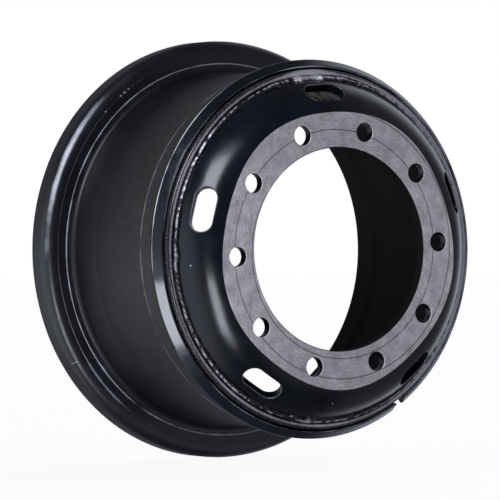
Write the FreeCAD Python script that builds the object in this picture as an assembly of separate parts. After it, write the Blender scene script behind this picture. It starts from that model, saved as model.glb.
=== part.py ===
import FreeCAD, Part
import math
import os

from FreeCAD import Vector

# Tube-type truck wheel in four pieces: a rolled rim base with a fixed back flange and a
# gutter, a domed disc pressed into it, the weld between the two, and a split lock ring.
# The wheel turns about Y. The bolt face looks along -Y and lies at y = 0, with the rim
# behind it at +y. Angles are counted from +X towards +Z. Lengths in mm, angles in degrees.

# Hub fixing
stud_count = 10
stud_circle_d = 335.0
stud_hole_d = 27.0
first_stud_angle = 3.6
bore_land = 27.0            # from the stud circle in to the bore
face_land = 25.5            # from the stud circle out to the edge of the machined flat
edge_break = 1.2            # chamfer on the bore

# Disc
disc_thickness = 14.0
shoulder_radius = 71.0      # outside of the dome, from the bolt face round to the skirt
skirt_length = 26.0         # straight part pressed into the rim
skirt_lead = 2.0            # chamfer that guides the skirt in
hand_hole_count = 5
hand_hole_length = 62.0
hand_hole_width = 31.0
hand_hole_tilt = 45.0       # between the hole's axis and the wheel's axis
hand_hole_edge = 1.5        # rounding of the hole's mouth
press_clearance = 0.2       # between skirt and rim, on the radius

# Rim base, back flange and barrel
bead_seat_d = 514.35        # nominal size of the rim, at the foot of the flange
bead_seat_taper = 5.0
bead_rise = 4.675           # from the barrel up to the bead seat
bead_fillet = 8.0
flange_height = 44.45
flange_set_back = 242.0     # from the rim's front edge to the flange's tyre side
flange_width = 41.5
flange_wall = 9.0
flange_lip_wall = 7.5
flange_corner = 10.0
flange_edge_rounding = 3.0
flange_hollow = 8.0         # inner rounding behind the flange
heel_wall = 14.0            # thickened root under the flange
heel_width = 24.0
heel_lead = 15.0            # from the flange's tyre side forward to the thickened root
heel_hollow = 6.0
heel_rounding = 4.0
barrel_wall = 6.5
seat_blend = 20.0           # length of the slope from disc seat to barrel, inside
valve_slot_angle = 72.0
valve_slot_place = 109.0    # from the rim's front edge to the slot's middle
valve_slot_length = 36.0
valve_slot_width = 18.0

# Rim base, gutter end
rim_set_back = 48.0         # from the bolt face to the rim's front edge
band_height = 2.5           # thick band behind the gutter, over the barrel
band_end = 64.0             # from the rim's front edge
band_step = 4.0             # length of the slope down to the barrel
gutter_depth = 8.5          # below the band
gutter_width = 13.5
gutter_slope = 3.0          # how far each gutter wall leans over its height
gutter_rounding = 1.0
gutter_wall = 6.3           # between the gutter's floor and the disc seat
disc_seat_length = 54.0
weld_bevel = 3.0            # chamfer on the seat's front edge
lip_height = 10.8           # over the disc seat
lip_width = 8.5
lip_rounding = 4.0
lip_back_rounding = 1.5

# Lock ring, measured from its foot on the gutter's floor
seat_clearance = 0.3
ring_height = 18.0
ring_shoulder = 4.7         # from the front of the foot back to the widest place
ring_shoulder_rounding = 3.0
ring_back_lean = 3.0        # how far the rear face leans forward
ring_back_rounding = 2.0
ring_neck_height = 5.7
ring_neck_reach = 1.5       # forward of the foot
ring_nose_height = 7.7
ring_nose_reach = 7.3       # forward of the foot, over the gutter lip
ring_nose_land = 1.8        # flat on the tip of the nose
ring_nose_rounding = 0.8
ring_foot_rounding = 1.0
split_angle = 302.9
split_gap = 16.0
split_end_rounding = 7.0    # worn outer corner at the lower end of the split

# Weld between disc and rim
weld_toe_angle = 70.5       # where the bead meets the dome, counted like the hand holes
weld_crown = 2.2            # height of the bead over its chord
weld_spread = 2.8           # how far the bead reaches over the rim's front edge
weld_root = 6.0             # depth behind the rim's front edge

# Working values of the model
cut_over = 5.0              # how far a cutting tool runs past the piece
surface_tolerance = 0.01
edge_shares = (0.2, 0.5, 0.8)     # where along an edge its place is measured

# Sizes that follow from those above
bead_r = bead_seat_d / 2
barrel_r = bead_r - bead_rise
band_r = barrel_r + band_height
gutter_r = band_r - gutter_depth
seat_r = gutter_r - gutter_wall
lip_r = seat_r + lip_height
stud_circle_r = stud_circle_d / 2
bore_r = stud_circle_r - bore_land
face_r = stud_circle_r + face_land
skirt_r = seat_r - press_clearance
dome_r = skirt_r - shoulder_radius
dome_y = math.sqrt(shoulder_radius ** 2 - (face_r - dome_r) ** 2)
dome_inner_radius = shoulder_radius - disc_thickness
hand_hole_offset = 180.0 / stud_count     # hand holes lie midway between two studs
flange_y = rim_set_back + flange_set_back
gutter_y = rim_set_back + lip_width
gutter_end_y = gutter_y + gutter_width + 2 * gutter_slope

AXIS = Vector(0, 1, 0)
ORIGIN = Vector(0, 0, 0)


def unit(vector):
    return vector * (1 / vector.Length)


def on_dome(radius, angle):
    """Place on the dome's arc of the given radius, at an angle from the front of its crown."""
    turn = math.radians(angle)
    return Vector(dome_r + radius * math.sin(turn), dome_y - radius * math.cos(turn), 0)


def section(corners):
    """Closed face in the plane of radius and axis; each corner is (radius, y, rounding)."""
    points = [Vector(r, y, 0) for r, y, rounding in corners]
    starts, ends, middles = [], [], []
    for i, corner in enumerate(points):
        rounding = corners[i][2]
        back = unit(points[i - 1] - corner)
        ahead = unit(points[(i + 1) % len(points)] - corner)
        half_angle = back.getAngle(ahead) / 2
        reach = rounding / math.tan(half_angle)
        bisector = unit(back + ahead)
        starts.append(corner + back * reach)
        ends.append(corner + ahead * reach)
        middles.append(corner + bisector * (rounding / math.sin(half_angle) - rounding))
    edges = []
    for i in range(len(points)):
        if corners[i][2] > 0:
            edges.append(Part.Arc(starts[i], middles[i], ends[i]).toShape())
        edges.append(Part.LineSegment(ends[i], starts[(i + 1) % len(points)]).toShape())
    return Part.Face(Part.Wire(edges))


def turned(face):
    return face.revolve(ORIGIN, AXIS, 360)


def at_angle(shape, angle):
    """Copy of a shape made on the +X side, carried round the wheel to the given angle."""
    copy = shape.copy()
    copy.rotate(ORIGIN, AXIS, -angle)
    return copy


def round_slot(middle, along, across, through, length, width, depth):
    """Slot with round ends, centred on middle and reaching depth to each side of it."""
    straight = along * ((length - width) / 2)
    side = across * (width / 2)
    start = middle - through * depth
    corner_a = start - straight - side
    corner_b = start + straight - side
    corner_c = start + straight + side
    corner_d = start - straight + side
    far_end = start + along * (length / 2)
    near_end = start - along * (length / 2)
    outline = Part.Wire([
        Part.LineSegment(corner_a, corner_b).toShape(),
        Part.Arc(corner_b, far_end, corner_c).toShape(),
        Part.LineSegment(corner_c, corner_d).toShape(),
        Part.Arc(corner_d, near_end, corner_a).toShape(),
    ])
    return Part.Face(outline).extrude(through * (2 * depth))


def disc_blank():
    """Turned form of the pressed disc: flat bolt face, domed shoulder, straight skirt."""
    inner_face_r = dome_r + math.sqrt(dome_inner_radius ** 2 - (dome_y - disc_thickness) ** 2)
    face_angle = math.degrees(math.asin((face_r - dome_r) / shoulder_radius))
    inner_angle = math.degrees(math.asin((inner_face_r - dome_r) / dome_inner_radius))
    skirt_end = dome_y + skirt_length
    skirt_inner_r = skirt_r - disc_thickness
    outer_arc = Part.Arc(
        on_dome(shoulder_radius, face_angle),
        on_dome(shoulder_radius, (face_angle + 90) / 2),
        on_dome(shoulder_radius, 90),
    )
    inner_arc = Part.Arc(
        on_dome(dome_inner_radius, 90),
        on_dome(dome_inner_radius, (inner_angle + 90) / 2),
        on_dome(dome_inner_radius, inner_angle),
    )
    skirt_edge = [
        outer_arc.EndPoint,
        Vector(skirt_r, skirt_end - skirt_lead, 0),
        Vector(skirt_r - skirt_lead, skirt_end, 0),
        Vector(skirt_inner_r, skirt_end, 0),
        inner_arc.StartPoint,
    ]
    bore_edge = [
        inner_arc.EndPoint,
        Vector(bore_r + edge_break, disc_thickness, 0),
        Vector(bore_r, disc_thickness - edge_break, 0),
        Vector(bore_r, edge_break, 0),
        Vector(bore_r + edge_break, 0, 0),
        outer_arc.StartPoint,
    ]
    edges = [outer_arc.toShape()]
    edges += [Part.LineSegment(a, b).toShape() for a, b in zip(skirt_edge, skirt_edge[1:])]
    edges.append(inner_arc.toShape())
    edges += [Part.LineSegment(a, b).toShape() for a, b in zip(bore_edge, bore_edge[1:])]
    return turned(Part.Face(Part.Wire(edges)))


def stud_hole():
    """Hole drilled straight through the flat of the disc."""
    place = Vector(stud_circle_r, 0, 0)
    return Part.makeCylinder(stud_hole_d / 2, disc_thickness, place, AXIS)


def hand_hole():
    """Slot punched square to the dome, halfway up its shoulder."""
    through = unit(on_dome(shoulder_radius, hand_hole_tilt) - on_dome(0, 0))
    across = Vector(-through.y, through.x, 0)
    middle = on_dome(shoulder_radius - disc_thickness / 2, hand_hole_tilt)
    along = Vector(0, 0, 1)
    return round_slot(
        middle, along, across, through, hand_hole_length, hand_hole_width, disc_thickness
    )


def is_hand_hole_mouth(edge, hole_middles):
    """True for an edge on the dome's outside that bounds a hand hole."""
    first, last = edge.ParameterRange
    for share in edge_shares:
        point = edge.valueAt(first + (last - first) * share)
        radius = math.hypot(point.x, point.z)
        from_dome = math.hypot(radius - dome_r, point.y - dome_y)
        if abs(from_dome - shoulder_radius) > surface_tolerance:
            return False
    middle = edge.valueAt((first + last) / 2)
    return any(middle.distanceToPoint(place) < hand_hole_length for place in hole_middles)


def make_wheel_disc():
    disc = disc_blank()
    stud_pitch = 360.0 / stud_count
    hand_pitch = 360.0 / hand_hole_count
    hand_angles = [
        first_stud_angle + hand_hole_offset + k * hand_pitch for k in range(hand_hole_count)
    ]
    holes = [at_angle(stud_hole(), first_stud_angle + k * stud_pitch) for k in range(stud_count)]
    holes += [at_angle(hand_hole(), angle) for angle in hand_angles]
    disc = disc.cut(holes)
    hole_middle = Part.Vertex(on_dome(shoulder_radius, hand_hole_tilt))
    hole_middles = [at_angle(hole_middle, angle).Point for angle in hand_angles]
    mouths = [edge for edge in disc.Edges if is_hand_hole_mouth(edge, hole_middles)]
    return disc.makeFillet(hand_hole_edge, mouths)


def make_rim_base():
    """Rolled rim section turned round the axis, with the valve slot cut through the barrel."""
    flange_r = bead_r + flange_height
    lip_inner_r = flange_r - flange_lip_wall
    heel_r = bead_r - heel_wall
    barrel_inner_r = barrel_r - barrel_wall
    band_end_y = rim_set_back + band_end
    bead_start_y = flange_y - bead_rise / math.tan(math.radians(bead_seat_taper))
    flange_end_y = flange_y + flange_width
    flange_back_y = flange_y + flange_wall
    heel_end_y = flange_y + heel_width
    heel_start_y = flange_y - heel_lead
    seat_end_y = rim_set_back + disc_seat_length
    heel_slope = heel_width - flange_wall
    outline = section([
        (seat_r, rim_set_back + weld_bevel, 0),
        (seat_r + weld_bevel, rim_set_back, 0),
        (lip_r, rim_set_back, lip_rounding),
        (lip_r, gutter_y, lip_back_rounding),
        (gutter_r, gutter_y + gutter_slope, gutter_rounding),
        (gutter_r, gutter_end_y - gutter_slope, gutter_rounding),
        (band_r, gutter_end_y, gutter_rounding),
        (band_r, band_end_y, 0),
        (barrel_r, band_end_y + band_step, 0),
        (barrel_r, bead_start_y, 0),
        (bead_r, flange_y, bead_fillet),
        (flange_r, flange_y, flange_corner),
        (flange_r, flange_end_y, flange_edge_rounding),
        (lip_inner_r, flange_end_y, flange_edge_rounding),
        (lip_inner_r, flange_back_y, flange_hollow),
        (bead_r + heel_slope, flange_back_y, flange_hollow),
        (bead_r, heel_end_y, heel_hollow),
        (heel_r, heel_end_y, heel_rounding),
        (heel_r, heel_start_y, 0),
        (barrel_inner_r, heel_start_y - heel_slope, 0),
        (barrel_inner_r, seat_end_y + seat_blend, 0),
        (seat_r, seat_end_y, 0),
    ])
    slot = round_slot(
        Vector(barrel_r, rim_set_back + valve_slot_place, 0), AXIS, Vector(0, 0, 1),
        Vector(1, 0, 0), valve_slot_length, valve_slot_width, barrel_wall + cut_over,
    )
    return turned(outline).cut(at_angle(slot, valve_slot_angle))


def make_lock_ring():
    """Spring ring lying in the gutter, its nose over the lip, cut open at one place."""
    inner_r = gutter_r + seat_clearance
    outer_r = inner_r + ring_height
    nose_r = inner_r + ring_nose_height
    front_y = gutter_y + gutter_slope + seat_clearance
    back_y = gutter_end_y - gutter_slope - seat_clearance
    nose_y = front_y - ring_nose_reach
    ring = turned(section([
        (inner_r, front_y, ring_foot_rounding),
        (inner_r + ring_neck_height, front_y - ring_neck_reach, 0),
        (nose_r, nose_y, ring_nose_rounding),
        (nose_r + ring_nose_land, nose_y, ring_nose_rounding),
        (outer_r, front_y + ring_shoulder, ring_shoulder_rounding),
        (outer_r, back_y - ring_back_lean, ring_back_rounding),
        (inner_r, back_y, ring_foot_rounding),
    ]))
    start_y = nose_y - cut_over
    reach = back_y - nose_y + 2 * cut_over
    gap = Part.makeBox(
        ring_height + 2 * cut_over, reach, split_gap,
        Vector(inner_r - cut_over, start_y, -split_gap / 2),
    )
    worn_place = Vector(
        outer_r - split_end_rounding, start_y, -split_gap / 2 - split_end_rounding
    )
    worn_corner = Part.makeBox(split_end_rounding, reach, split_end_rounding, worn_place)
    round_end = Part.makeCylinder(split_end_rounding, reach, worn_place, AXIS)
    cuts = [gap, worn_corner.cut(round_end)]
    return ring.cut([at_angle(cut, split_angle) for cut in cuts])


def make_disc_weld(disc, rim_base):
    """Fillet bead that fills the groove between the dome and the rim's front edge."""
    disc_toe = on_dome(shoulder_radius, weld_toe_angle)
    rim_toe = Vector(seat_r + weld_bevel + weld_spread, rim_set_back, 0)
    root = Vector(seat_r - press_clearance / 2, rim_set_back + weld_root, 0)
    chord = unit(rim_toe - disc_toe)
    outward = Vector(chord.y, -chord.x, 0)
    crown = (disc_toe + rim_toe) * 0.5 + outward * weld_crown
    edges = [
        Part.Arc(disc_toe, crown, rim_toe).toShape(),
        Part.LineSegment(rim_toe, root).toShape(),
        Part.LineSegment(root, disc_toe).toShape(),
    ]
    bead = turned(Part.Face(Part.Wire(edges)))
    return bead.cut([disc, rim_base])


wheel_disc = make_wheel_disc()
rim_base = make_rim_base()
pieces = {
    "rim_base": rim_base,
    "wheel_disc": wheel_disc,
    "disc_weld": make_disc_weld(wheel_disc, rim_base),
    "lock_ring": make_lock_ring(),
}

os.makedirs("parts", exist_ok=True)
for name, shape in pieces.items():
    solid = shape.Solids[0]
    print(name, "solids", len(shape.Solids), "valid", shape.isValid(), "volume", round(solid.Volume))
    shape.exportStep("parts/" + name + ".step")
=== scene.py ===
# %% [markdown]
# # A truck wheel rim in black enamel
# The wheel is a rolled rim base with a fixed back flange, a domed disc that is pressed and welded into it,
# and a split lock ring that lies in the gutter at the front. It turns about Y, the machined bolt face looks
# along -Y and lies at y = 0, and angles are counted from +X towards +Z. Sizes are written in millimetres and
# turned to metres in one place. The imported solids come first, because every new surface has to lie where they
# are.

# %% Load the solids and measure them
import math
from functools import reduce

import bmesh
import bpy
import numpy as np
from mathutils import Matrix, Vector


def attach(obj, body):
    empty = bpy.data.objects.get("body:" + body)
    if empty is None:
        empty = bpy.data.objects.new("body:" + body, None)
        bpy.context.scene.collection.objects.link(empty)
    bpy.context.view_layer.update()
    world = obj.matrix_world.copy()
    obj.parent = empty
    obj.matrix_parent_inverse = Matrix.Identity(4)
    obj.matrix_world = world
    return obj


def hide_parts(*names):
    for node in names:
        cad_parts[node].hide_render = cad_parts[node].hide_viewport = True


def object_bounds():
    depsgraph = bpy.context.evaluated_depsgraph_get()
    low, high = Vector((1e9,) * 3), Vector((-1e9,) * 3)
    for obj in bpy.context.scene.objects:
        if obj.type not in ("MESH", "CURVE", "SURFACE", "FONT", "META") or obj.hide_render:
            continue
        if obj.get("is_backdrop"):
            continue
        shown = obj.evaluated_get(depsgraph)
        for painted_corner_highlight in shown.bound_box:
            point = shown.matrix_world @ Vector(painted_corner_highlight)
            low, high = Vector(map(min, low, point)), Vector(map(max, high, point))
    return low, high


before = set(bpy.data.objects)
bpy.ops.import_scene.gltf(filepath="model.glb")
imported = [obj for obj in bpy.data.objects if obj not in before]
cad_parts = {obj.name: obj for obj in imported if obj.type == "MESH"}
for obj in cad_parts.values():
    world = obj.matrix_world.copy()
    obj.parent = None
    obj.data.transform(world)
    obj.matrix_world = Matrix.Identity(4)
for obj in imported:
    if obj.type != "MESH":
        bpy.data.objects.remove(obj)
cad_low, cad_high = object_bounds()
MM = 0.001
cad_box = [round((b - a) / MM, 1) for a, b in zip(cad_low, cad_high)]
print("solids:", sorted(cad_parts), "box in mm:", cad_box)

# %% [markdown]
# ## Points on a wheel
# Nearly every surface of a wheel is a section carried round its axis. A Screw modifier could do that, but
# holes and uneven edges need points that can be moved one by one. So one function turns radius, depth and
# angle into a point, and another joins whole grids of such points into a closed mesh. Neighbouring grids end
# on the same points, which are merged, and the normals are worked out after that.


# %% Turn radius, depth and angle into points, and grids into a mesh
def wheel_point(radius, depth, angle):
    """x = radius times cosine of the angle, y = depth, z = radius times sine of the angle, in metres."""
    radius, depth, angle = np.broadcast_arrays(radius, depth, angle)
    return np.stack([radius * np.cos(angle), depth, radius * np.sin(angle)], axis=-1) * MM


def grid_faces(keep):
    """Four-sided faces between neighbouring rows and columns of points, where the mask keep is true."""
    row, column = np.nonzero(keep)
    columns = keep.shape[1] + 1
    first = row * columns + column
    return np.stack([first, first + 1, first + columns + 1, first + columns], axis=-1)


def make_piece(name, patches, finishes, node, sharp_degrees=38, merge_mm=0.004):
    """Joins patches (points, mask of faces or None, finish number, edge value of wear and painted highlight)
    into one closed piece.
    """
    points, faces, marks, wear_and_highlight_values, start = [], [], [], [], 0
    for grid, keep, mark, edge in patches:
        rows, columns = grid.shape[:2]
        keep = np.ones((rows - 1, columns - 1), dtype=bool) if keep is None else keep
        points.append(grid.reshape(-1, 3))
        faces.append(grid_faces(keep) + start)
        marks.append(np.broadcast_to(mark, keep.shape)[keep])
        wear_and_highlight_values.append(np.broadcast_to(np.asarray(edge, dtype=float), (rows, columns)).ravel())
        start += rows * columns
    mesh = bpy.data.meshes.new(name)
    mesh.from_pydata(np.concatenate(points), [], np.concatenate(faces))
    mesh.polygons.foreach_set("material_index", np.concatenate(marks).astype(np.int32))
    mesh.attributes.new("edge_wear_and_highlight", "FLOAT", "POINT").data.foreach_set("value", np.concatenate(wear_and_highlight_values))
    work = bmesh.new()
    work.from_mesh(mesh)
    bmesh.ops.remove_doubles(work, verts=work.verts, dist=merge_mm * MM)
    bmesh.ops.recalc_face_normals(work, faces=work.faces)
    open_edges = sum(1 for edge in work.edges if len(edge.link_faces) != 2)
    work.to_mesh(mesh)
    work.free()
    mesh.polygons.foreach_set("use_smooth", np.ones(len(mesh.polygons), dtype=bool))
    mesh.set_sharp_from_angle(angle=math.radians(sharp_degrees))
    for finish in finishes:
        mesh.materials.append(finish)
    piece = bpy.data.objects.new(name, mesh)
    bpy.context.collection.objects.link(piece)
    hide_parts(node)
    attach(piece, "root")
    print(name, "faces", len(mesh.polygons), "open edges", open_edges)
    return piece


print("100 mm out, a quarter turn round:", wheel_point(100.0, 0.0, math.pi / 2).round(4), "m")

# %% [markdown]
# ## Colours and nodes
# Colours are given as sRGB hex values, as a colour picker shows them, and turned to linear light in one
# function. One small function adds a node, sets it up and links it. Pattern sizes are real millimetres: a
# noise of scale 1000 / size has features of about that size on Object coordinates in metres.


# %% Colour and node helpers
def linear(code):
    """sRGB hex to linear light: c / 12.92 in the dark toe, ((c + 0.055) / 1.055) to the 2.4 above it."""
    value = np.array([int(code[i:i + 2], 16) for i in (1, 3, 5)]) / 255
    light = np.where(value <= 0.04045, value / 12.92, ((value + 0.055) / 1.055) ** 2.4)
    return (*light.tolist(), 1.0)


def add(tree, kind, settings=(), **inputs):
    """Adds a node; settings are its options, inputs its sockets by number (s0, s1 ...)."""
    made = tree.nodes.new("ShaderNode" + kind)
    for key, value in dict(settings).items():
        setattr(made, key, value)
    for key, value in inputs.items():
        socket = made.inputs[int(key[1:])]
        if isinstance(value, bpy.types.NodeSocket):
            tree.links.new(value, socket)
        else:
            socket.default_value = value
    return made.outputs


def per_mm(size):
    """Texture scale whose features are about that many millimetres wide: one over the size in metres."""
    return 1 / (size * MM)


def inside_of(finish):
    """A material's node tree, its shader and a set of Object coordinates."""
    tree = finish.node_tree
    shader = next(n for n in tree.nodes if n.type == "BSDF_PRINCIPLED")
    return tree, shader, add(tree, "TexCoord")[3]


def new_finish(name):
    """New material: (material, tree, shader, Object coordinates)."""
    finish = bpy.data.materials.new(name)
    finish.use_nodes = True
    return (finish, *inside_of(finish))


COLOUR_MIX = {"data_type": "RGBA"}
TIMES = {"operation": "MULTIPLY"}
print("mid grey in linear light:", round(linear("#808080")[0], 3), "- scale for 5 mm:", per_mm(5))

# %% [markdown]
# ## Black enamel on pressed steel
# Wheels like this are dipped or sprayed with a black stoving enamel. It is nearly black with a blue cast and
# glossy, and it follows every wave of the pressing, so its reflections are soft and uneven. Dust shows as
# tiny pale specks, and the paint is thin on sharp edges, where grey metal shines through. Such edges could be
# found by a Bevel or Pointiness node, but those are lost in an export. So the mesh carries an edge value that
# is 1 on an edge that is worn. On some edges the same value paints a pale highlight line, so it is partly
# wear and partly painted highlight.


# %% Enamel
def enamel(name, deep, pale, edge_wear_and_highlight_colour, rough_low, mirror, peel_mm, peel_strength, specks):
    """Stoving enamel: two tones mixed by broad noise, specks of dust, bare edges with painted edge highlights,
    and an orange-peel bump.
    """
    finish, tree, shader, place = new_finish(name)
    broad = add(tree, "TexNoise", s0=place, s2=per_mm(45), s3=4.0, s4=0.6)[0]
    fine = add(tree, "TexNoise", s0=place, s2=per_mm(2.2), s3=2.0, s4=0.5)[0]
    tone = add(tree, "ValToRGB", s0=broad)[0]
    low, high = tone.node.color_ramp.elements
    low.position, low.color = 0.34, linear(deep)
    high.position, high.color = 0.72, linear(pale)
    speck = add(tree, "MapRange", s0=fine, s1=0.735, s2=0.79, s3=0.0, s4=specks)[0]
    dust_and_light_colour = add(tree, "Mix", COLOUR_MIX, s0=speck, s6=tone, s7=linear("#8a8d92"))[2]
    edge = add(tree, "Attribute", {"attribute_name": "edge_wear_and_highlight"})[2]
    # The edge value is partly wear and partly painted highlight lines on some edges.
    chipped_and_highlight = add(tree, "Math", TIMES, s0=edge, s1=broad)[0]
    shown = add(tree, "MapRange", s0=chipped_and_highlight, s1=0.22, s2=0.62, s3=0.0, s4=0.85)[0]
    colour = add(tree, "Mix", COLOUR_MIX, s0=shown, s6=dust_and_light_colour, s7=linear(edge_wear_and_highlight_colour))[2]
    tree.links.new(colour, shader.inputs["Base Color"])
    rough = add(tree, "MapRange", s0=broad, s1=0.3, s2=0.75, s3=rough_low, s4=rough_low + 0.12)[0]
    tree.links.new(rough, shader.inputs["Roughness"])
    shader.inputs["Specular IOR Level"].default_value = mirror
    peel = add(tree, "TexNoise", s0=place, s2=per_mm(peel_mm), s3=2.0, s4=0.45)[0]
    bump = add(tree, "Bump", s0=peel_strength, s1=0.6 * MM, s3=peel)[0]
    tree.links.new(bump, shader.inputs["Normal"])
    return finish


# %% [markdown]
# The wheel has five kinds of it. They differ in how blue and how glossy they are, so one function makes them
# all.

# %% Enamel finishes
# Deep gloss: the dome mirrors the room as long, soft streaks.
disc_enamel = enamel("black_stoving_enamel_disc", "#06090f", "#0c111a", "#8f9097",
                     rough_low=0.16, mirror=0.5, peel_mm=7.0, peel_strength=0.10, specks=0.35)
# The glossiest: the ring's slanted face flashes where a lamp stands.
ring_enamel = enamel("blue_black_enamel_lock_ring", "#080b10", "#0f141b", "#c3c6cc",
                     rough_low=0.10, mirror=0.5, peel_mm=9.0, peel_strength=0.05, specks=0.25)
# Duller: the barrel looks flat and sooty.
rim_enamel = enamel("dusty_black_enamel_rim", "#0b0c0f", "#15161a", "#b4b4b8",
                    rough_low=0.34, mirror=0.40, peel_mm=6.0, peel_strength=0.12, specks=0.40)
# Smooth, with a few pale specks: the flange's round corner carries a broad bluish sheen, widened by a painted
# highlight band.
flange_enamel = enamel("glossy_black_enamel_flange", "#05070d", "#0b0f18", "#c6c8d2",
                       rough_low=0.29, mirror=0.8, peel_mm=8.0, peel_strength=0.10, specks=0.50)
# Nearly matt: the inside stays black.
inner_enamel = enamel("dull_black_enamel_inside", "#0b0b0b", "#131312", "#5a5a58",
                      rough_low=0.60, mirror=0.10, peel_mm=5.0, peel_strength=0.18, specks=0.20)
print("enamels:", sorted(m.name for m in bpy.data.materials if "enamel" in m.name))

# %% [markdown]
# Olive-grey dust has settled on the middle of the rim's barrel, where a tyre once sat, and fades towards the
# flange and the gutter. It could be a second material with a mask, but a mix on top of the paint's own colour
# keeps one material. Depth on Object coordinates says where it lies, and fine noise makes it patchy.

# %% Dust on the barrel
tree, shader, place = inside_of(rim_enamel)
depth = add(tree, "SeparateXYZ", s0=place)[1]
behind_gutter = add(tree, "MapRange", s0=depth, s1=60 * MM, s2=80 * MM, s3=0.0, s4=0.26)[0]
before_seat = add(tree, "MapRange", s0=depth, s1=105 * MM, s2=250 * MM, s3=1.0, s4=0.0)[0]
settled = add(tree, "Math", TIMES, s0=behind_gutter, s1=before_seat)[0]
grain = add(tree, "TexNoise", s0=place, s2=per_mm(3.5), s3=5.0, s4=0.7)[0]
patchy = add(tree, "MapRange", s0=grain, s1=0.36, s2=0.66, s3=0.15, s4=1.5)[0]
dust_and_painted_light = add(tree, "Math", TIMES, s0=settled, s1=patchy)[0]
painted = shader.inputs["Base Color"].links[0].from_socket
dust_and_light_colour = add(tree, "Mix", COLOUR_MIX, s0=dust_and_painted_light, s6=painted, s7=linear("#565349"))[2]
tree.links.new(dust_and_light_colour, shader.inputs["Base Color"])
print("dust on", rim_enamel.name)

# %% [markdown]
# Three flecks of pale primer lie on the disc. Inside, behind the top hand hole, a pale olive patch is painted
# where light falls in from the open back: a painted patch of light. Each spot is a distance from a fixed place
# on Object coordinates, so it stays where it is from every side.

# %% Flecks on the disc, painted patch of light behind the top hand hole
flecks = ((193.5, 7.4, -76.6, 1.5), (-226.5, 26.7, -22.2, 1.3), (-4.7, 11.4, -213.5, 1.2))
distance = {"operation": "DISTANCE"}
tree, shader, place = inside_of(disc_enamel)
colour = shader.inputs["Base Color"].links[0].from_socket
for *spot_mm, size in flecks:
    middle = [c * MM for c in spot_mm]
    away = add(tree, "VectorMath", distance, s0=place, s1=middle)[1]
    fleck_and_light_spot = add(tree, "MapRange", s0=away, s1=0.5 * size * MM, s2=size * MM, s3=0.9, s4=0.0)[0]
    colour = add(tree, "Mix", COLOUR_MIX, s0=fleck_and_light_spot, s6=colour, s7=linear("#cfc8ca"))[2]
tree.links.new(colour, shader.inputs["Base Color"])
# Painted light: a pale olive patch inside, behind the top hand hole, where light falls in from behind.
tree, shader, place = inside_of(inner_enamel)
painted = shader.inputs["Base Color"].links[0].from_socket
away = add(tree, "VectorMath", distance, s0=place, s1=(112 * MM, 206 * MM, 219 * MM))[1]
fleck_and_light_spot = add(tree, "MapRange", s0=away, s1=35 * MM, s2=75 * MM, s3=0.9, s4=0.0)[0]
light_patch_noise = add(tree, "TexNoise", s0=place, s2=per_mm(14), s3=3.0, s4=0.6)[0]
ragged = add(tree, "MapRange", s0=light_patch_noise, s1=0.42, s2=0.50, s3=0.1, s4=1.0)[0]
dust_and_painted_light = add(tree, "Math", TIMES, s0=fleck_and_light_spot, s1=ragged)[0]
dust_and_light_colour = add(tree, "Mix", COLOUR_MIX, s0=dust_and_painted_light, s6=painted, s7=linear("#696760"))[2]
tree.links.new(dust_and_light_colour, shader.inputs["Base Color"])
print(len(flecks), "flecks on", disc_enamel.name, "- dust and painted light on", inner_enamel.name)

# %% [markdown]
# ## Machined bolt face
# The flat where the wheel bolts to its hub is faced on a lathe after painting, so it is grey steel. The tool
# leaves fine rings, and one deeper mark that winds outwards by about 28 mm a turn. The mark could be cut into
# the mesh, but it is a hair's breadth wide, so it is drawn: on Object coordinates the distance from the axis
# gives the rings, and distance minus angle gives the spiral. The real rings are finer than a pixel, so they
# are drawn 1.9 mm apart.

# %% Rings, spiral and streaks of the bolt face
spiral_pitch, spiral_start_r, spiral_start_angle = 28.0, 145.0, 190.0
groove_half, groove_fade = 0.35, 1.1
ring_pitch, streak_width, streak_reach = 1.9, 1.1, 18.0
machined_steel, tree, shader, place = new_finish("machined_steel_bolt_face")
part = add(tree, "SeparateXYZ", s0=place)
flat_place = add(tree, "CombineXYZ", s0=part[0], s2=part[2])[0]
radius = add(tree, "VectorMath", {"operation": "LENGTH"}, s0=flat_place)[1]
angle = add(tree, "Math", {"operation": "ARCTAN2"}, s0=part[2], s1=part[0])[0]
turns = add(tree, "Math", {"operation": "DIVIDE"}, s0=angle, s1=2 * math.pi)[0]
wound = add(tree, "Math", {"operation": "MULTIPLY_ADD"}, s0=radius, s1=per_mm(spiral_pitch),
            s2=0.5 - spiral_start_r / spiral_pitch + spiral_start_angle / 360)[0]
phase = add(tree, "Math", {"operation": "SUBTRACT"}, s0=wound, s1=turns)[0]
inside = add(tree, "Math", {"operation": "FRACT"}, s0=phase)[0]
away = add(tree, "Math", {"operation": "SUBTRACT"}, s0=inside, s1=0.5)[0]
near = add(tree, "Math", {"operation": "ABSOLUTE"}, s0=away)[0]
groove = add(tree, "MapRange", s0=near, s1=groove_half / spiral_pitch,
             s2=groove_fade / spiral_pitch, s3=1.0, s4=0.0)[0]
ring_phase = add(tree, "Math", TIMES, s0=radius, s1=2 * math.pi * per_mm(ring_pitch))[0]
rings = add(tree, "Math", {"operation": "SINE"}, s0=ring_phase)[0]
unrolled = add(tree, "Math", TIMES, s0=angle, s1=streak_reach * MM)[0]
brush_place = add(tree, "CombineXYZ", s0=radius, s1=unrolled)[0]
brush = add(tree, "TexNoise", s0=brush_place, s2=per_mm(streak_width), s3=3.0, s4=0.6)[0]
print("bolt face: spiral pitch", spiral_pitch, "mm, rings", ring_pitch, "mm apart")

# %% [markdown]
# Turned steel spreads its reflections across the grooves, so the highlight is drawn out along the radius, and
# opposite sectors look darker. Short streaks round the axis, stains and small dark pits break the grey up.
# Here the steel is dull, so it is only partly metallic.

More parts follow.
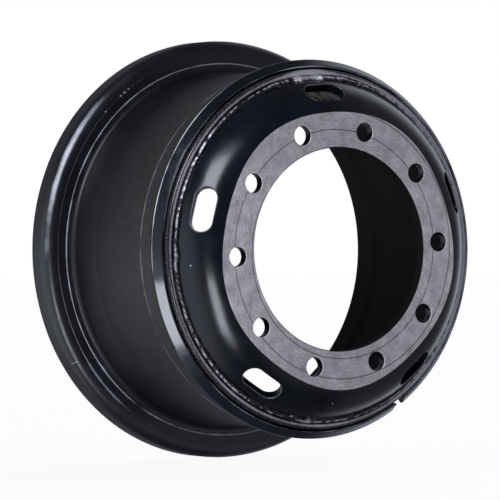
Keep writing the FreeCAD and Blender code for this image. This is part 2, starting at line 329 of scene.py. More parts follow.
# %% Colour, gloss and bump of the bolt face
stain = add(tree, "TexNoise", s0=place, s2=per_mm(22), s3=5.0, s4=0.62)[0]
tone = add(tree, "Mix", {"data_type": "FLOAT"}, s0=0.55, s2=stain, s3=brush)[0]
steel = add(tree, "ValToRGB", s0=tone)[0]
low, high = steel.node.color_ramp.elements
low.position, low.color = 0.34, linear("#a6a2a5")
high.position, high.color = 0.66, linear("#f0ecec")
marked = add(tree, "Math", TIMES, s0=groove, s1=0.75)[0]
grain = add(tree, "TexNoise", s0=place, s2=per_mm(1.8), s3=2.0, s4=0.5)[0]
pits = add(tree, "MapRange", s0=grain, s1=0.34, s2=0.46, s3=0.5, s4=0.0)[0]
pitted = add(tree, "Mix", COLOUR_MIX, s0=pits, s6=steel, s7=linear("#5d5b62"))[2]
scored = add(tree, "Mix", COLOUR_MIX, s0=marked, s6=pitted, s7=linear("#3c3b40"))[2]
# Painted highlight: the edge value turns the flat's edges into a pale line.
edge = add(tree, "Attribute", {"attribute_name": "edge_wear_and_highlight"})[2]
painted_edge_highlight = add(tree, "Math", TIMES, s0=edge, s1=0.55)[0]
colour = add(tree, "Mix", COLOUR_MIX, s0=painted_edge_highlight, s6=scored, s7=linear("#d8d7da"))[2]
tree.links.new(colour, shader.inputs["Base Color"])
shader.inputs["Metallic"].default_value = 0.6
shader.inputs["Anisotropic"].default_value = 0.5
tree.links.new(flat_place, shader.inputs["Tangent"])
rough = add(tree, "MapRange", s0=stain, s1=0.3, s2=0.7, s3=0.46, s4=0.62)[0]
tree.links.new(rough, shader.inputs["Roughness"])
height = add(tree, "Math", {"operation": "MULTIPLY_ADD"}, s0=groove, s1=-1.6, s2=rings)[0]
bump = add(tree, "Bump", s0=0.16, s1=0.5 * MM, s3=height)[0]
tree.links.new(bump, shader.inputs["Normal"])
print("bolt face:", machined_steel.name, "with", len(tree.nodes), "nodes")

# %% [markdown]
# ## Weld and scale
# The weld bead and the rim's rough front edge were painted over without cleaning. Spatter and scale stand
# under the paint as bumps of about two millimetres. Where the edge value is high the paint is rubbed through,
# and the scuffed steel under it is pale and spreads the light. On the weld's crest the same value also paints
# highlight glints.


# %% Rough painted steel
def rough_paint(name, deep, pale, grit_mm, bump_strength, rough_low):
    """Glossy paint over scale: fine dark and pale grit, bare patches and painted glints by attribute, and grit
    as bump.
    """
    finish, tree, shader, place = new_finish(name)
    patch = add(tree, "TexNoise", s0=place, s2=per_mm(9), s3=5.0, s4=0.7)[0]
    grit = add(tree, "TexNoise", s0=place, s2=per_mm(grit_mm), s3=4.0, s4=0.7)[0]
    tone = add(tree, "ValToRGB", s0=grit)[0]
    low, high = tone.node.color_ramp.elements
    low.position, low.color = 0.44, linear(deep)
    high.position, high.color = 0.64, linear(pale)
    edge = add(tree, "Attribute", {"attribute_name": "edge_wear_and_highlight"})[2]
    mottle = add(tree, "Math", {"operation": "ADD"}, s0=patch, s1=grit)[0]
    # Where the edge value is high this is bare steel, and on the weld's crest a painted glint.
    thin_paint_and_glints = add(tree, "Math", TIMES, s0=edge, s1=mottle)[0]
    shown = add(tree, "MapRange", s0=thin_paint_and_glints, s1=0.30, s2=1.05, s3=0.0, s4=0.95)[0]
    colour = add(tree, "Mix", COLOUR_MIX, s0=shown, s6=tone, s7=linear("#d6d4da"))[2]
    tree.links.new(colour, shader.inputs["Base Color"])
    metal = add(tree, "MapRange", s0=shown, s1=0.2, s2=0.9, s3=0.0, s4=0.7)[0]
    tree.links.new(metal, shader.inputs["Metallic"])
    wet = add(tree, "MapRange", s0=grit, s1=0.3, s2=0.7, s3=rough_low, s4=rough_low + 0.20)[0]
    scuffed = add(tree, "MapRange", s0=shown, s1=0.1, s2=0.9, s3=0.0, s4=0.52)[0]
    rough = add(tree, "Math", {"operation": "MAXIMUM"}, s0=wet, s1=scuffed)[0]
    tree.links.new(rough, shader.inputs["Roughness"])
    bump = add(tree, "Bump", s0=bump_strength, s1=1.0 * MM, s3=grit)[0]
    tree.links.new(bump, shader.inputs["Normal"])
    return finish


# Wet-looking paint over a lumpy bead: small, hard glints.
weld_paint = rough_paint("painted_weld_bead", "#08080b", "#2e2d32",
                         grit_mm=2.4, bump_strength=0.30, rough_low=0.05)
# The same over scale, which is flatter: greyer, with fewer glints.
lip_scale = rough_paint("painted_mill_scale_lip", "#0e0e11", "#45444a",
                        grit_mm=2.2, bump_strength=0.14, rough_low=0.06)
print("rough paints:", weld_paint.name, lip_scale.name)

# %% [markdown]
# The paint is worn most on the right half of the front edge and in a few places round the rest. A painted
# mask could say where, but wear that fades from a middle is a bell curve, and a sum of bell curves is easy to
# move.


# %% Where the front edge is worn
def bell(value, middle, width):
    """Bell curve: e to the minus square of (value - middle) / width."""
    return np.exp(-((value - middle) / width) ** 2)


def degrees_from(angle, middle):
    """Angle in radians less a middle in degrees, wrapped to between -180 and 180 degrees."""
    return (np.degrees(angle) - middle + 180) % 360 - 180


def paint_gone(angle):
    """How much paint is off the front edge, 0 to 1: bell curves, each with its place, height and width."""
    total = np.zeros(np.shape(angle))
    for middle, amount, width in ((0, 1.0, 42), (58, 0.5, 18), (95, 0.9, 9), (153, 0.6, 17),
                                  (235, 0.35, 14), (272, 0.55, 9), (312, 0.4, 14)):
        total = total + amount * bell(degrees_from(angle, middle), 0, width)
    return np.clip(total, 0, 1)


def rubbed_side(angle):
    """How far the front edge is rubbed all over, 0 to 1: a wide bell at the right, a short one at the top."""
    away = degrees_from(angle, 0)
    return np.maximum(bell(away, 0, 50), 0.9 * bell(away, 95, 9))


print("paint gone at 0, 90, 180 and 270 degrees:", paint_gone(np.radians([0, 90, 180, 270])).round(2))

# %% [markdown]
# ## Sections with rounded corners
# A rolled section is a chain of corners, each with its own rounding. A Bevel modifier gives one width to many
# corners, so the arcs are worked out here, all at once as arrays. The arc at a corner starts and ends where
# it touches the two straight runs. Long runs are then divided, so that the slow waves of a rolled surface can
# be laid on them.


# %% Rounded section, and the waves of a rolled surface
def rounded_section(corners, steps, longest):
    """Closed section from rows of (radius, depth, rounding): each arc swings between its touching points."""
    corners = np.asarray(corners, dtype=float)
    place, rounding = corners[:, :2], corners[:, 2:]
    back = np.roll(place, 1, axis=0) - place
    ahead = np.roll(place, -1, axis=0) - place
    back /= np.linalg.norm(back, axis=1, keepdims=True)
    ahead /= np.linalg.norm(ahead, axis=1, keepdims=True)
    half = np.arccos(np.clip((back * ahead).sum(axis=1, keepdims=True), -1, 1)) / 2
    middle = back + ahead
    centre = place + middle / np.linalg.norm(middle, axis=1, keepdims=True) * rounding / np.sin(half)
    start = place + back * rounding / np.tan(half) - centre
    end = place + ahead * rounding / np.tan(half) - centre
    turn = math.pi - 2 * half[:, None]
    share = np.linspace(0, 1, steps)[None, :, None]
    swing = np.sin((1 - share) * turn) * start[:, None] + np.sin(share * turn) * end[:, None]
    loop = (centre[:, None] + swing / np.sin(turn)).reshape(-1, 2)
    loop = np.concatenate([loop, loop[:1]])
    along = np.concatenate([[0], np.cumsum(np.linalg.norm(np.diff(loop, axis=0), axis=1))])
    count = np.maximum(1, np.ceil(np.diff(along) / longest)).astype(int)
    run = np.repeat(np.arange(len(count)), count)
    step = np.arange(len(run)) - np.repeat(np.cumsum(count) - count, count)
    station = along[run] + np.diff(along)[run] * step / count[run]
    station = np.append(station, along[-1])
    return np.interp(station, along, loop[:, 0]), np.interp(station, along, loop[:, 1])


def waves(angle, depth, size, seed):
    """Slow unevenness of a rolled surface: a few seeded sine waves round the wheel that shift with depth."""
    chance = np.random.default_rng(seed)
    total = np.zeros(np.broadcast(angle, depth).shape)
    for lobes in (3, 5, 8, 13, 21):
        drift, start = chance.uniform(-0.02, 0.02), chance.uniform(0, 2 * math.pi)
        total += np.sin(lobes * angle + drift * depth + start) / math.sqrt(lobes)
    return total * size


square = [(0, 0, 2), (10, 0, 2), (10, 10, 2), (0, 10, 2)]
print("a rounded square has", len(rounded_section(square, steps=6, longest=9.0)[0]), "points")

# %% [markdown]
# ## Holes in a turned surface
# A Boolean would leave long thin faces that spoil the reflections. So a hole is let into a grid by leaving
# out a rectangular window and filling it with a ring of faces that runs from the window's edge to the hole's
# outline. Each point of the window is joined to the outline in its own direction from the middle of the hole.
# A slot with round ends is a straight run and two half circles, so the distance to its outline is known for
# every direction.


# %% Windows and slot outlines
def window_loop(row_list, column_list):
    """Row and column numbers once round a window, from its first corner back to it."""
    first, last, left, right = row_list[0], row_list[-1], column_list[0], column_list[-1]
    over, down = np.asarray(column_list[:-1]), np.asarray(row_list[:-1])
    over_back, down_back = np.asarray(column_list[:0:-1]), np.asarray(row_list[:0:-1])
    rows = np.concatenate([np.full(len(over), first), down, np.full(len(over), last), down_back, [first]])
    columns = np.concatenate([over, np.full(len(down), right), over_back, np.full(len(down), left), [left]])
    return rows, columns


def slot_outline(direction, straight, end_radius):
    """Place on a slot's outline: end_radius over sine on its sides, far root of the end circle beyond."""
    cosine, sine = np.abs(np.cos(direction)), np.abs(np.sin(direction))
    on_side = end_radius / np.maximum(sine, 1e-9)
    on_end = straight * cosine + np.sqrt(np.maximum(end_radius ** 2 - (straight * sine) ** 2, 0))
    reach = np.where(on_side * cosine <= straight, on_side, on_end)
    return reach * np.cos(direction), reach * np.sin(direction)


def spread(first, last, rows):
    """Straight steps from one row of values to another."""
    share = np.linspace(0, 1, rows)[:, None]
    return first[None] * (1 - share) + last[None] * share


print("a slot of 9 + 9 mm reaches", slot_outline(np.array([0.0]), 9.0, 9.0)[0], "mm from its middle")

# %% [markdown]
# ## Rim base
# The rim base is rolled from one bar: a thick gutter end at the front, a thin barrel, and the fixed flange at
# the back that holds the tyre. Its section is carried round the wheel, with slow waves on it as rolling
# leaves them. A fine step runs round the foot of the flange and another halfway up. A few columns stand close
# together at the butt weld, where the bar's ends meet.

# %% Rim section and its points
barrel_out, barrel_in = 252.5, 246.0
flange_out, flange_front, flange_back, flange_in = 301.625, 291.0, 331.5, 294.125
rim_corners = [
    # front lip, and the gutter that the lock ring lies in
    (240.2, 51.0, 0.4), (243.2, 48.0, 0.5), (245.2, 47.8, 0.6), (251.0, 48.0, 4.6),
    (251.0, 56.5, 1.5), (246.5, 59.5, 1.0), (246.5, 73.0, 1.0),
    # thick band, barrel and bead seat
    (255.0, 76.0, 1.0), (255.0, 112.0, 0.6), (barrel_out, 116.0, 0.8), (barrel_out, 236.56, 3.0),
    (257.175, 290.0, 8.0),
    # flange: foot step, second step, round front corner, outer band and lip
    (268.6, 290.0, 0.4), (269.5, 290.6, 0.4), (281.6, 290.6, 0.3), (282.3, flange_front, 0.3),
    (flange_out, flange_front, 14.0), (flange_out, flange_back, 3.0), (flange_in, flange_back, 3.0),
    # back of the flange, thick root, and the inside
    (flange_in, 299.0, 8.0), (272.175, 299.0, 8.0), (257.175, 314.0, 6.0), (243.175, 314.0, 4.0),
    (243.175, 275.0, 1.0), (barrel_in, 260.0, 1.0), (barrel_in, 122.0, 1.0), (240.2, 102.0, 1.0),
]
rim_r, rim_y = rounded_section(rim_corners, steps=6, longest=9.0)
joint_angle = 212.5
joint_columns = joint_angle + np.array([-0.3, -0.14, 0, 0.14, 0.3])
rim_t = np.radians(np.sort(np.append(np.linspace(0, 360, 421), joint_columns)))
rolled = np.clip((rim_y - 80) / 60, 0, 1)[:, None] * (rim_r > 250)[:, None]
rim_radius = rim_r[:, None] + rolled * waves(rim_t[None], rim_y[:, None], size=0.10, seed=4)
rim_points = wheel_point(rim_radius, rim_y[:, None], rim_t[None])
print("rim base rows", len(rim_r), "columns", len(rim_t))

# %% [markdown]
# The slot for the tube's valve runs along the axis and is punched straight through the barrel. Angle on the
# barrel is the sideways place divided by the radius. Both windows are gone round in the same order, so the
# wall of the slot simply joins the last row of the outer ring to the last row of the inner one.

# %% Valve slot
valve_angle, valve_y, valve_straight, valve_end = math.radians(72.0), 157.0, 9.0, 9.0
window_lead, window_half_angle, window_rows, ring_rows = 26, 0.085, 6, 7


def valve_ring(barrel):
    """Window of the slot on one side of the barrel, and its ring of faces from the window to the outline."""
    on_barrel = np.flatnonzero(np.abs(rim_r - barrel) < 0.05)
    by_depth = on_barrel[np.argsort(rim_y[on_barrel])]
    first = np.argmin(np.abs(rim_y[by_depth] - (valve_y - window_lead)))
    row_list = by_depth[first:first + window_rows + 1]
    sides = [valve_angle - window_half_angle, valve_angle + window_half_angle]
    column_list = np.arange(*np.searchsorted(rim_t, sides))
    rows, columns = window_loop(row_list, column_list)
    direction = np.arctan2((rim_t[columns] - valve_angle) * barrel, rim_y[rows] - valve_y)
    along, across = slot_outline(direction, valve_straight, valve_end)
    ring = wheel_point(spread(rim_radius[rows, columns], np.full(len(rows), barrel), ring_rows),
                       spread(rim_y[rows], valve_y + along, ring_rows),
                       spread(rim_t[columns], valve_angle + np.arcsin(across / barrel), ring_rows))
    return (row_list.min(), row_list.max(), column_list[0], column_list[-1]), ring


outer_window, outer_ring = valve_ring(barrel_out)
inner_window, inner_ring = valve_ring(barrel_in)
slot_wall = np.stack([outer_ring[-1], inner_ring[-1]])
rim_keep = np.ones((len(rim_r) - 1, len(rim_t) - 1), dtype=bool)
for row_a, row_b, column_a, column_b in (outer_window, inner_window):
    rim_keep[row_a:row_b, column_a:column_b] = False
print("faces left out for the valve slot:", np.count_nonzero(~rim_keep))

# %% [markdown]
# Four finishes lie on the rim: dusty enamel on the barrel, dull enamel inside, scale on the front lip and
# glossy enamel on the flange. Paint is thin on the front lip, on the edge of the thick band and on both steps.
# The flange's round corner carries a painted highlight, a pale band that is strongest at the upper left. The
# second step is dotted with chips at the upper left and rubbed at the lower left. The butt weld shows as a
# bright tick.

# %% Finishes, worn edges and painted corner highlight of the rim
BARREL, INSIDE, LIP, FLANGE = range(4)
middle_r, middle_y = (rim_r[1:] + rim_r[:-1]) / 2, (rim_y[1:] + rim_y[:-1]) / 2
rim_mark = np.where((middle_r < 250.0) & (middle_y > 78), INSIDE, BARREL)
rim_mark = np.where((middle_y < 56) & (middle_r > 242), LIP, rim_mark)
rim_mark = np.where((middle_y > 285) & (middle_r > 262), FLANGE, rim_mark)[:, None]
rim_degrees = np.degrees(rim_t)[None]
# Painted highlight: a pale band on the flange's round corner, strongest at the upper left.
painted_corner_highlight = bell(np.hypot(rim_r - 297.5, rim_y - 295.1), 0, 4.2)[:, None]
painted_corner_highlight = painted_corner_highlight * (0.32 + 1.05 * bell(rim_degrees, 158, 20))
band_edge = (bell(rim_y, 112.5, 1.2) * (rim_r > 252))[:, None]
foot_step = (bell(rim_r, 268.9, 0.7) * (np.abs(rim_y - 290.3) < 1))[:, None]
tick = bell(rim_degrees, joint_angle, 0.14) * ((rim_r > 293) & (rim_y < 303))[:, None]
chips = np.clip(np.random.default_rng(5).uniform(0, 1.5, len(rim_t)) ** 3, 0, 1.1)
chips = chips * bell(rim_degrees, 130, 13)
second_step = (bell(rim_r, 282.0, 0.7) * (np.abs(rim_y - 290.8) < 0.6))[:, None]
second_step = second_step * np.maximum(chips, 0.8 * bell(rim_degrees, 222, 30))
lip_front = bell(rim_r[:, None], 245.8, 2.0 + 4.0 * rubbed_side(rim_t)[None]) * (rim_y < 52)[:, None]
lip_front = lip_front * (0.58 + 0.65 * paint_gone(rim_t))[None]
rim_edge = reduce(np.maximum, (painted_corner_highlight, band_edge, foot_step, tick, second_step, lip_front))
rim_base = make_piece(
    "rim_base_rolled",
    [(rim_points, rim_keep, rim_mark, rim_edge), (outer_ring, None, BARREL, 0.0),
     (inner_ring, None, INSIDE, 0.0), (slot_wall, None, INSIDE, 0.0)],
    [rim_enamel, inner_enamel, lip_scale, flange_enamel], "rim_base")

# %% [markdown]
# ## Wheel disc
# The disc is pressed from plate: a flat for the hub, a dome of 71 mm radius round it, and a straight skirt
# that goes into the rim. Punching the hand holes pulls the dome in a little beside them. So where the lathe
# cuts the flat, its edge comes in by a few millimetres at each hand hole: the flat has five slow lobes. A
# turned profile alone can't show them, so the dome is a function of its own arc and of the angle round the
# wheel.

# %% Sizes of the disc, and its dome
dome_r, dome_y, dome_out, dome_in = 169.0, 66.8204, 71.0, 57.0
bore_r, stud_r, stud_hole_r, plate = 140.5, 167.5, 13.5, 14.0
studs, hands, columns_per_turn = 10, 5, 480
first_stud, hand_tilt = math.radians(3.6), math.radians(45.0)
first_hand = first_stud + math.radians(18)
lobe_mean, lobe_height, lobe_end = 192.2, 2.6, math.radians(60)
disc_t = first_stud + np.linspace(0, 2 * math.pi, columns_per_turn + 1)


def face_edge(angle):
    """Edge of the flat: a mean radius less a cosine that is largest at the five hand holes."""
    return lobe_mean - lobe_height * np.cos(hands * (angle - first_hand))


def edge_angle(angle):
    """Where on the dome's arc the flat ends: the arc sine of its reach past the dome's centre."""
    return np.arcsin((face_edge(angle) - dome_r) / dome_out)


def dome_outside(arc, angle):
    """Outside of the dome, shifted so that the flat's edge lies at depth 0; the shift fades along the arc."""
    start = edge_angle(angle)
    shift = dome_out * np.cos(start) - dome_y
    fade = np.clip((lobe_end - arc) / (lobe_end - start), 0, 1) ** 2
    return wheel_point(dome_r + dome_out * np.sin(arc), dome_y - dome_out * np.cos(arc) + shift * fade, angle)


def dome_inside(arc, angle):
    """Inside of the dome: the same arc, smaller by the plate's thickness."""
    return wheel_point(dome_r + dome_in * np.sin(arc), dome_y - dome_in * np.cos(arc), angle)


edge_r = face_edge(disc_t)
print("flat edge from", round(float(edge_r.min()), 1), "to", round(float(edge_r.max()), 1), "mm")

# %% [markdown]
# A hand hole is punched square to the dome, so its outline is a slot in the punch's own plane, carried along
# the punch until it meets the dome. The meeting place has no simple formula, so it is found by halving an
# interval, for all points of the outline at once.

# %% Hand holes
hand_straight, hand_end = 15.5, 15.5


def punch_meets_dome(along, across, tube):
    """Arc and sideways angle where punch lines at (along, across) meet the dome, by halving an interval."""
    near, far = np.full(along.shape, 0.2 * tube), np.full(along.shape, 1.3 * tube)
    for _ in range(40):
        depth = (near + far) / 2
        x = dome_r + across * math.cos(hand_tilt) + depth * math.sin(hand_tilt)
        y = across * math.sin(hand_tilt) - depth * math.cos(hand_tilt)
        outside = np.hypot(np.hypot(x, along) - dome_r, y) > tube
        near, far = np.where(outside, near, depth), np.where(outside, depth, far)
    return np.arctan2(np.hypot(x, along) - dome_r, -y), np.arctan2(along, x)


def hand_hole(middle, arcs, angles, rows, columns, surface, tube, rounding):
    """Ring of faces from a window to a hand hole on one side of the dome, then its rounded mouth."""
    arc_w, angle_w = arcs[rows], angles[columns]
    direction = np.arctan2((arc_w - hand_tilt) * tube, (angle_w - middle) * (dome_r + 0.7 * tube))
    punch = np.array([math.sin(hand_tilt) * math.cos(middle), -math.cos(hand_tilt),
                      math.sin(hand_tilt) * math.sin(middle)]) * MM
    along, across = slot_outline(direction, hand_straight, hand_end + rounding)
    arc_o, angle_o = punch_meets_dome(along, across, tube)
    ring = surface(spread(arc_w, arc_o, 8), spread(angle_w, middle + angle_o, 8))
    mouth = []
    for turn in np.linspace(0, math.pi / 2, 6):
        along, across = slot_outline(direction, hand_straight, hand_end + rounding * (1 - math.sin(turn)))
        arc_o, angle_o = punch_meets_dome(along, across, tube)
        sunk = rounding * (1 - math.cos(turn)) * (1 if tube == dome_out else -1)
        mouth.append(surface(arc_o, middle + angle_o) - punch * sunk)
    return ring, np.stack(mouth)


hole_arc = punch_meets_dome(np.zeros(1), np.zeros(1), dome_out)[0]
print("a hand hole's middle lies at", np.degrees(hole_arc).round(1), "degrees on the dome")

# %% [markdown]
# A stud hole goes straight through the flat. Its outline is a slot of no length, which is a circle, and its
# edge is broken by a small rounding on both sides.


# %% Stud holes
def stud_hole(middle, radii, angles, rows, columns, depth, rounding):
    """Ring of faces from a window to a stud hole on one side of the flat, then its broken edge."""
    radius_w, angle_w = radii[rows, columns], angles[columns]
    direction = np.arctan2(radius_w - stud_r, (angle_w - middle) * stud_r)
    across, outward = slot_outline(direction, 0.0, stud_hole_r + rounding)
    radius_o = np.hypot(stud_r + outward, across)
    angle_o = middle + np.arctan2(across, stud_r + outward)
    ring = wheel_point(spread(radius_w, radius_o, 7), depth, spread(angle_w, angle_o, 7))
    turn = np.linspace(0, math.pi / 2, 4)[:, None]
    size = stud_hole_r + rounding * (1 - np.sin(turn))
    across, outward = size * np.cos(direction), size * np.sin(direction)
    sunk = rounding * (1 - np.cos(turn)) * (1 if depth == 0 else -1)
    mouth = wheel_point(np.hypot(stud_r + outward, across), depth + sunk,
                        middle + np.arctan2(across, stud_r + outward))
    return ring, mouth


def windows_in(shape, row_a, row_b, middles, half):
    """Mask of a grid's faces without the windows, and each window's loop of rows and columns."""
    keep = np.ones((shape[0] - 1, shape[1] - 1), dtype=bool)
    loops = []
    for middle in middles:
        cut = np.arange(middle - half, middle + half) % (shape[1] - 1)
        keep[row_a:row_b, cut] = False
        loops.append(window_loop(np.arange(row_a, row_b + 1), np.arange(middle - half, middle + half + 1)))
    return keep, loops


stud_columns = np.arange(studs) * (columns_per_turn // studs)
hand_columns = columns_per_turn // 20 + np.arange(hands) * (columns_per_turn // hands)
print("stud holes at columns", stud_columns, "and hand holes at", hand_columns)

# %% [markdown]
# The disc's runs are the flat and the dome on the outside, and the same on the inside, joined by the bore and
# the skirt. Rows are set so that each window begins and ends on one. A row of edge values marks the sharp
# edges, where paint is thin and steel is bright, and paints a pale highlight line along the flat's edge.

# %% Runs of the disc
edge_break, stud_low, stud_high, stud_half, hand_half = 1.2, 149.0, 186.0, 11, 14
arc_window = np.radians(np.linspace(27.0, 63.0, 21))
arc_skirt = np.radians(np.linspace(63.0, 90.0, 13)[1:])


def all_round(rows):
    """The same rows at every angle."""
    return np.repeat(rows[:, None], len(disc_t), axis=1)


stud_rows = np.linspace(stud_low, stud_high, 13)[1:]
flat_rows = np.concatenate([np.linspace(bore_r + edge_break, stud_low, 4), stud_rows])
flat_outer = stud_high + (edge_r[None] - stud_high) * np.array([0.35, 0.7, 0.92, 1.0])[:, None]
flat_r = np.concatenate([all_round(flat_rows), flat_outer])
flat_edge = np.zeros(flat_r.shape)
flat_edge[0], flat_edge[-1] = 0.3, 0.7
flat_keep, flat_loops = windows_in(flat_r.shape, 3, 15, stud_columns, stud_half)
flat_arc = edge_angle(disc_t)[None]
arc_start = flat_arc + (arc_window[0] - flat_arc) * np.array([0.0, 0.08, 0.3, 0.6])[:, None]
dome_arcs = np.concatenate([arc_start, all_round(np.append(arc_window, arc_skirt))])
dome_edge = np.zeros(dome_arcs.shape)
dome_edge[0] = 1.0
dome_keep, dome_loops = windows_in(dome_arcs.shape, 4, 24, hand_columns, hand_half)
inside_start = math.asin(math.sqrt(dome_in ** 2 - (dome_y - plate) ** 2) / dome_in)
in_arcs = np.concatenate([np.linspace(inside_start, arc_window[0], 4)[:-1], arc_window, arc_skirt])
in_keep, in_loops = windows_in((len(in_arcs), len(disc_t)), 3, 23, hand_columns, hand_half)
back_r = all_round(np.concatenate([np.linspace(bore_r + edge_break, stud_low, 3), stud_rows,
                                   [dome_r + dome_in * math.sin(inside_start)]]))
back_keep, back_loops = windows_in(back_r.shape, 2, 14, stud_columns, stud_half)
bore_run = np.array([[bore_r + edge_break, 0.0], [bore_r, edge_break], [bore_r, plate - edge_break],
                     [bore_r + edge_break, plate]])
skirt_run = np.array([[240.0, dome_y], [240.0, 90.82], [238.0, 92.82], [226.0, 92.82], [226.0, dome_y]])
print("disc rows: flat", len(flat_r), "dome", len(dome_arcs), "inside", len(in_arcs))

# %% [markdown]
# The windows near the seam reach past the first or last column, so the holes look their angles up in three
# turns laid end to end. The wall of each hole joins its two mouths.

# %% Wheel disc
STEEL, PAINT, DULL = range(3)
disc_patches = [
    (wheel_point(flat_r, 0.0, disc_t[None]), flat_keep, STEEL, flat_edge),
    (dome_outside(dome_arcs, disc_t[None]), dome_keep, PAINT, dome_edge),
    (dome_inside(in_arcs[:, None], disc_t[None]), in_keep, DULL, 0.0),
    (wheel_point(back_r, plate, disc_t[None]), back_keep, DULL, 0.0),
    (wheel_point(bore_run[:, :1], bore_run[:, 1:], disc_t[None]), None, DULL, 0.0),
    (wheel_point(skirt_run[:, :1], skirt_run[:, 1:], disc_t[None]), None, DULL, 0.0),
]
wide_t = np.concatenate([disc_t[:-1] - 2 * math.pi, disc_t, disc_t[1:] + 2 * math.pi])
wide_flat, wide_back = (np.concatenate([r[:, :-1], r, r[:, 1:]], axis=1) for r in (flat_r, back_r))
for middle, front_loop, back_loop in zip(stud_columns, flat_loops, back_loops):
    hole = first_stud + middle * 2 * math.pi / columns_per_turn
    rows, columns = front_loop
    front_ring, front_mouth = stud_hole(hole, wide_flat, wide_t, rows, columns + columns_per_turn, 0.0, 0.8)
    rows, columns = back_loop
    back_ring, back_mouth = stud_hole(hole, wide_back, wide_t, rows, columns + columns_per_turn, plate, 0.8)
    wall = np.stack([front_mouth[-1], back_mouth[-1]])
    disc_patches += [(front_ring, None, STEEL, 0.0), (front_mouth, None, STEEL, 0.35),
                     (back_ring, None, DULL, 0.0), (back_mouth, None, DULL, 0.0), (wall, None, PAINT, 0.0)]
out_arcs = np.concatenate([np.zeros(4), arc_window, arc_skirt])
# mouth_edge paints a pale highlight line round each hand hole's rounded mouth.
mouth_edge = np.array([0, 0.4, 1, 1, 0.4, 0])[:, None]
for middle, out_loop, in_loop in zip(hand_columns, dome_loops, in_loops):
    hole = first_stud + middle * 2 * math.pi / columns_per_turn
    rows, columns = out_loop
    out_ring, out_mouth = hand_hole(hole, out_arcs, wide_t, rows, columns + columns_per_turn,
                                    dome_outside, dome_out, 1.5)
    rows, columns = in_loop
    in_ring, in_mouth = hand_hole(hole, in_arcs, wide_t, rows, columns + columns_per_turn,
                                  dome_inside, dome_in, 0.8)
    wall = np.linspace(out_mouth[-1], in_mouth[-1], 4)
    disc_patches += [(out_ring, None, PAINT, 0.0), (out_mouth, None, PAINT, mouth_edge),
                     (in_ring, None, DULL, 0.0), (in_mouth, None, DULL, 0.0), (wall, None, PAINT, 0.0)]
wheel_disc = make_piece("wheel_disc_pressed", disc_patches, [machined_steel, disc_enamel, inner_enamel],
                        "wheel_disc")

# %% [markdown]
# ## Lock ring
# The lock ring is a spring bar bent to a circle and cut through, so that it can be sprung into the gutter. A
# curve with a bevel could make it, but its ends are closed here by fans of faces, and at one end the outer
# corner is worn round. So it is a section carried round the wheel from one end of the cut to the other. The
# nose that lies towards the disc is rubbed bright, and the outer corner is pale all round, palest at the upper
# left.

# %% Lock ring
ring_out, worn_round = 264.8, 7.0
ring_corners = [
    (246.8, 59.8, 1.0), (252.5, 58.3, 0.6), (254.5, 52.5, 0.8), (256.3, 52.5, 0.8), (ring_out, 64.5, 3.0),
    (ring_out, 69.7, 2.0), (246.8, 72.7, 1.0),
]
ring_r, ring_y = rounded_section(ring_corners, steps=8, longest=2.5)
split, half_gap = math.radians(302.9), 8.0 / 256.0
first_end, last_end = split + half_gap, split + 2 * math.pi - half_gap
ring_t = first_end + (last_end - first_end) * np.linspace(0, 1, 601)
corner_depth = np.clip(worn_round - (last_end - ring_t) * 258.0, 0, worn_round)
worn = ring_out - worn_round + np.sqrt(np.maximum(worn_round ** 2 - corner_depth ** 2, 0))
ring_radius = np.minimum(ring_r[:, None], worn[None])
ring_radius = ring_radius + waves(ring_t[None], ring_y[:, None], size=0.05, seed=9)
ring_points = wheel_point(ring_radius, ring_y[:, None], ring_t[None])
ring_ends = []
for column in (0, -1):
    outline = ring_points[:-1, column]
    centre = np.broadcast_to(outline.mean(axis=0), (len(outline) + 1, 3))
    ring_ends.append(np.linspace(np.concatenate([outline, outline[:1]]), centre, 3))
nose = (bell(ring_r, 254.6, 1.6) * (ring_y < 58))[:, None] * (0.55 + 0.45 * paint_gone(ring_t))[None]
# The outer corner is pale all round and palest at the upper left.
pale_corner_share = np.clip(1.6 * bell(np.degrees(ring_t) % 360, 152, 24) + 0.5, 0, 1.6)
pale_outer_corner = bell(np.hypot(ring_r - 264.3, ring_y - 65.0), 0, 1.1)[:, None] * pale_corner_share[None]
lock_ring = make_piece(
    "lock_ring_split",
    [(ring_points, None, 0, np.maximum(nose, pale_outer_corner)), *((end, None, 0, 0.4) for end in ring_ends)],
    [ring_enamel], "lock_ring")

# %% [markdown]
# ## Weld bead
# The bead that joins disc and rim was laid by hand in several runs. It shows uneven ripples a few millimetres
# long, swells and sinks along its length, and has lumps where a run was started or stopped, which climb the
# dome by a few millimetres. A bump could fake that, but the glints of a weld come from its real shape. So all
# of it is added to the bead's height and width as functions of the angle.

# %% Ripples, lumps and toes of the bead
weld_t = np.linspace(0, 2 * math.pi, 2161)
chance = np.random.default_rng(31)


def uneven_heights(spread_columns):
    """Random heights round the bead, smoothed by a bell curve over a few columns and closed on themselves."""
    count = len(weld_t) - 1
    raw = np.fft.rfft(chance.normal(size=count))
    smoothing = np.exp(-2 * (math.pi * spread_columns * np.arange(len(raw)) / count) ** 2)
    smooth = np.fft.irfft(raw * smoothing, count)
    return np.append(smooth, smooth[0]) / smooth.std()


